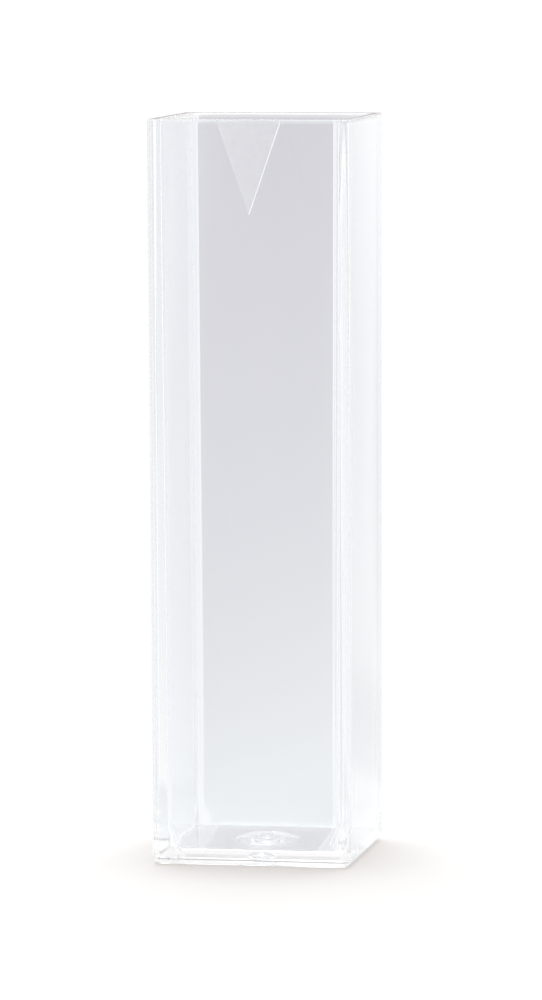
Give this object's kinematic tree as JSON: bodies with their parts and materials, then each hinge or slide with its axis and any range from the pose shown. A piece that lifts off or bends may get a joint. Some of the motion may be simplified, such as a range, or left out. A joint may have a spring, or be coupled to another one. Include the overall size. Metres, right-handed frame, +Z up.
{
  "type": "cuvette",
  "caption": "Square clear plastic sample cell, open at the top, with clear walls all round, a triangular mark at the rim of its front window and a round gate recess under its floor.",
  "frame": {"origin": "centre of the underside, on the surface that the cuvette stands on", "axes": "+Z up along the sample cavity, -Y out of the front window that carries the mark, +X to the right seen from the front"},
  "size_m": [0.0124, 0.0124, 0.045],
  "materials": {
    "clear_plastic": "clear injection-moulded polystyrene, polished"
  },
  "bodies": {
    "root": {"cuvette": "clear_plastic"}
  },
  "joints": []
}
